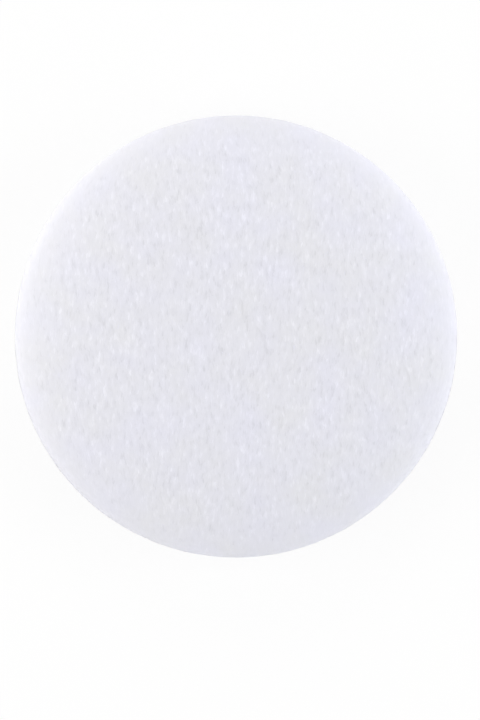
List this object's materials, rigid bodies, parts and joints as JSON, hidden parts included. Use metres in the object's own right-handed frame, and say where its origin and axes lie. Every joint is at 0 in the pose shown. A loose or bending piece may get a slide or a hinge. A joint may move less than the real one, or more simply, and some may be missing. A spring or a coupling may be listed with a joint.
{
  "type": "powder puff",
  "caption": "Round white velour powder puff with a domed powder face, a foam filling, a sewn rim and a satin finger ribbon across its flat back.",
  "frame": {"origin": "centre of the puff on the plane that its back rests on", "axes": "+Z up through the middle of the powder face; +X along the finger ribbon; +Y is up in the picture"},
  "size_m": [0.08, 0.08, 0.0152],
  "materials": {
    "velour": "matte",
    "foam": "matte",
    "satin": "satin",
    "thread": "satin"
  },
  "bodies": {
    "puff": {"back_velour": "velour", "foam_core": "foam", "needle_thread": "thread", "bobbin_thread": "thread", "closing_thread": "thread", "ribbon_tack_right": "thread", "ribbon_tack_left": "thread"},
    "face": {"front_velour": "velour"},
    "finger_band": {"ribbon": "satin"}
  },
  "joints": [
    {"name": "face_press", "type": "slide", "parent": "puff", "child": "face", "axis": [0, 0, -1], "range_m": [0, 0.005], "stiffness_N_per_m": 400, "deforming": ["front_velour", "foam_core"]},
    {"name": "ribbon_lift", "type": "slide", "parent": "puff", "child": "finger_band", "axis": [0, 0, -1], "range_m": [0, 0.01], "stiffness_N_per_m": 5, "deforming": ["ribbon"]}
  ]
}
